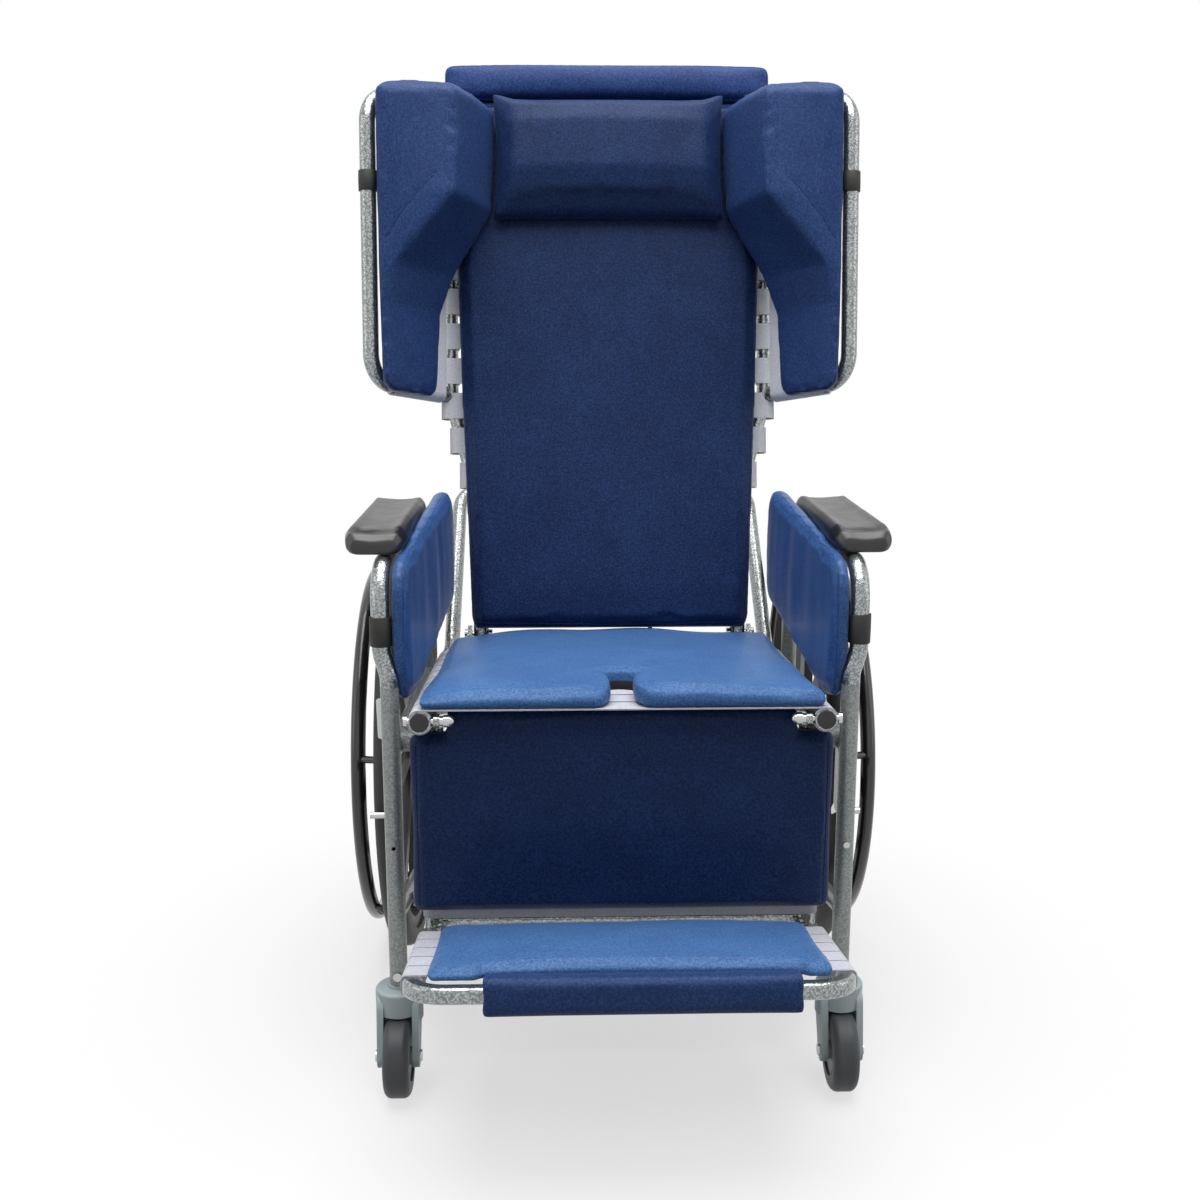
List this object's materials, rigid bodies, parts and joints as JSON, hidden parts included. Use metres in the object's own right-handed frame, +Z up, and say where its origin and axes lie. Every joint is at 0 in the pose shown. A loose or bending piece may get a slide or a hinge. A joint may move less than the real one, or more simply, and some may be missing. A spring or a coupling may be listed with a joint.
{
  "type": "tilt in space wheelchair",
  "caption": "Self-propelled wheelchair whose seat tilts and back reclines, with a winged cushioned back, lift-out padded arms, elevating calf rest and padded foot board.",
  "frame": {"origin": "on the floor under the middle of the wheelchair's length and width", "axes": "+Z up, +X to the sitter's left, -Y to the front of the chair where the foot board is"},
  "size_m": [0.707, 1.0474, 1.29],
  "materials": {
    "frame_paint": "glossy hammertone grey paint",
    "frame_paint_dull": "mottled hammertone grey paint on the base",
    "bright_steel": "bright plated steel",
    "plain_steel": "zinc plated steel",
    "black_plastic": "matt black moulded plastic",
    "grey_plastic": "smooth blue-grey moulded plastic",
    "caster_tread": "dark grey solid rubber",
    "hub_plastic": "light grey moulded plastic",
    "black_tyre": "black rubber tyre",
    "rim_coating": "black coated handrim",
    "arm_foam": "dark grey self-skinned foam",
    "panel_vinyl": "mid blue vinyl",
    "seat_vinyl": "light blue vinyl",
    "back_vinyl": "navy blue vinyl",
    "wing_vinyl": "blue vinyl",
    "strap_vinyl": "pale grey vinyl strap",
    "grip_rubber": "black grip rubber"
  },
  "bodies": {
    "base_frame": {"side_frame_right": "frame_paint_dull", "side_frame_left": "frame_paint_dull", "base_cross_tubes": "frame_paint_dull", "rear_axles": "plain_steel", "anti_tip_tubes": "frame_paint_dull", "post_screws": "bright_steel", "lock_brackets": "frame_paint_dull"},
    "wheel_lock_right": {"lock_lever_right": "bright_steel"},
    "caster_swivel_right": {"caster_fork_right": "grey_plastic", "caster_bolts_right": "plain_steel"},
    "caster_wheel_right": {"caster_tyre_right": "caster_tread", "caster_hub_right": "hub_plastic"},
    "rear_wheel_right": {"rear_tyre_right": "black_tyre", "rear_wheel_right": "black_plastic", "handrim_right": "rim_coating"},
    "anti_tip_wheel_right": {"anti_tip_wheel_right": "black_plastic"},
    "arm_right": {"arm_tube_right": "frame_paint", "arm_pad_right": "arm_foam", "side_panel_right": "panel_vinyl"},
    "wheel_lock_left": {"lock_lever_left": "bright_steel"},
    "caster_swivel_left": {"caster_fork_left": "grey_plastic", "caster_bolts_left": "plain_steel"},
    "caster_wheel_left": {"caster_tyre_left": "caster_tread", "caster_hub_left": "hub_plastic"},
    "rear_wheel_left": {"rear_tyre_left": "black_tyre", "rear_wheel_left": "black_plastic", "handrim_left": "rim_coating"},
    "anti_tip_wheel_left": {"anti_tip_wheel_left": "black_plastic"},
    "arm_left": {"arm_tube_left": "frame_paint", "arm_pad_left": "arm_foam", "side_panel_left": "panel_vinyl"},
    "seat": {"seat_frame": "frame_paint", "rear_hoop": "frame_paint", "tube_plugs": "black_plastic", "seat_straps": "strap_vinyl", "seat_cushion": "seat_vinyl", "pivot_bolts": "bright_steel"},
    "back": {"back_frame": "frame_paint", "back_straps": "strap_vinyl", "back_cushion": "back_vinyl", "top_pad": "back_vinyl", "head_pillow": "back_vinyl", "wing_frames": "frame_paint", "wing_straps": "strap_vinyl", "wing_cushion_right": "wing_vinyl", "wing_cushion_left": "wing_vinyl", "push_grips": "grip_rubber"},
    "legrest": {"legrest_frame": "frame_paint", "calf_pad": "back_vinyl", "legrest_straps": "strap_vinyl"},
    "footrest": {"foot_frame": "frame_paint", "foot_straps": "strap_vinyl", "foot_pad": "seat_vinyl", "roll_cover": "wing_vinyl"},
    "tilt_cylinder": {"tilt_cylinder": "black_plastic"},
    "tilt_rod": {"tilt_rod": "bright_steel"},
    "recline_cylinder": {"recline_cylinder": "black_plastic"},
    "recline_rod": {"recline_rod": "bright_steel"},
    "tilt_lever": {"tilt_lever": "plain_steel"},
    "recline_lever": {"recline_lever": "plain_steel"}
  },
  "joints": [
    {"name": "caster_swivel_right", "type": "hinge", "parent": "base_frame", "child": "caster_swivel_right", "pos_m": [-0.273, -0.23332, 0.12], "axis": [0, 0, 1], "continuous": true},
    {"name": "caster_roll_right", "type": "hinge", "parent": "caster_swivel_right", "child": "caster_wheel_right", "pos_m": [-0.273, -0.25532, 0.05], "axis": [-1, 0, 0], "continuous": true},
    {"name": "rear_wheel_roll_right", "type": "hinge", "parent": "base_frame", "child": "rear_wheel_right", "pos_m": [-0.3016, 0.21868, 0.305], "axis": [-1, 0, 0], "continuous": true},
    {"name": "anti_tip_roll_right", "type": "hinge", "parent": "base_frame", "child": "anti_tip_wheel_right", "pos_m": [-0.244, 0.48368, 0.047], "axis": [-1, 0, 0], "continuous": true},
    {"name": "wheel_lock_right", "type": "hinge", "parent": "base_frame", "child": "wheel_lock_right", "pos_m": [-0.2869, -0.13432, 0.33], "axis": [-1, 0, 0], "range_deg": [0, 30]},
    {"name": "arm_lift_right", "type": "slide", "parent": "base_frame", "child": "arm_right", "axis": [0, 0, 1], "range_m": [0, 0.075]},
    {"name": "caster_swivel_left", "type": "hinge", "parent": "base_frame", "child": "caster_swivel_left", "pos_m": [0.273, -0.23332, 0.12], "axis": [0, 0, 1], "continuous": true},
    {"name": "caster_roll_left", "type": "hinge", "parent": "caster_swivel_left", "child": "caster_wheel_left", "pos_m": [0.273, -0.25532, 0.05], "axis": [-1, 0, 0], "continuous": true},
    {"name": "rear_wheel_roll_left", "type": "hinge", "parent": "base_frame", "child": "rear_wheel_left", "pos_m": [0.3016, 0.21868, 0.305], "axis": [-1, 0, 0], "continuous": true},
    {"name": "anti_tip_roll_left", "type": "hinge", "parent": "base_frame", "child": "anti_tip_wheel_left", "pos_m": [0.244, 0.48368, 0.047], "axis": [-1, 0, 0], "continuous": true},
    {"name": "wheel_lock_left", "type": "hinge", "parent": "base_frame", "child": "wheel_lock_left", "pos_m": [0.2869, -0.13432, 0.33], "axis": [-1, 0, 0], "range_deg": [0, 30]},
    {"name": "arm_lift_left", "type": "slide", "parent": "base_frame", "child": "arm_left", "axis": [0, 0, 1], "range_m": [0, 0.075]},
    {"name": "tilt", "type": "hinge", "parent": "base_frame", "child": "seat", "pos_m": [0, -0.20432, 0.44], "axis": [-1, 0, 0], "range_deg": [0, 22]},
    {"name": "recline", "type": "hinge", "parent": "seat", "child": "back", "pos_m": [0, 0.16028, 0.48419], "axis": [-1, 0, 0], "range_deg": [0, 35]},
    {"name": "legrest_lift", "type": "hinge", "parent": "seat", "child": "legrest", "pos_m": [0, -0.29932, 0.4924], "axis": [-1, 0, 0], "range_deg": [0, 80]},
    {"name": "footboard_angle", "type": "hinge", "parent": "legrest", "child": "footrest", "pos_m": [0, -0.28032, 0.218], "axis": [1, 0, 0], "range_deg": [0, 30]},
    {"name": "tilt_cylinder_swing", "type": "hinge", "parent": "base_frame", "child": "tilt_cylinder", "pos_m": [-0.07, -0.14432, 0.245], "axis": [-1, 0, 0], "range_deg": [0, 9.5]},
    {"name": "tilt_rod_stroke", "type": "slide", "parent": "tilt_cylinder", "child": "tilt_rod", "axis": [0, 0.5627, 0.8267], "range_m": [-0.065, 0]},
    {"name": "recline_cylinder_swing", "type": "hinge", "parent": "seat", "child": "recline_cylinder", "pos_m": [0.07, 0.01768, 0.44], "axis": [-1, 0, 0], "range_deg": [0, 4.5]},
    {"name": "recline_rod_stroke", "type": "slide", "parent": "recline_cylinder", "child": "recline_rod", "axis": [0, 0.999, -0.0451], "range_m": [-0.034, 0]},
    {"name": "recline_lever_squeeze", "type": "hinge", "parent": "back", "child": "recline_lever", "pos_m": [-0.2225, 0.32261, 1.12123], "axis": [1, 0, 0], "range_deg": [0, 8], "stiffness_Nm_per_rad": 0.4, "springref_deg": -17.19},
    {"name": "tilt_lever_squeeze", "type": "hinge", "parent": "back", "child": "tilt_lever", "pos_m": [0.2225, 0.32261, 1.12123], "axis": [1, 0, 0], "range_deg": [0, 8], "stiffness_Nm_per_rad": 0.4, "springref_deg": -17.19}
  ],
  "couplings": [
    {"joint": "tilt_cylinder_swing", "follows": "tilt", "ratio": 0.42804},
    {"joint": "tilt_rod_stroke", "follows": "tilt", "m_per_rad": -0.16845},
    {"joint": "recline_cylinder_swing", "follows": "recline", "ratio": 0.12624},
    {"joint": "recline_rod_stroke", "follows": "recline", "m_per_rad": -0.055333}
  ]
}
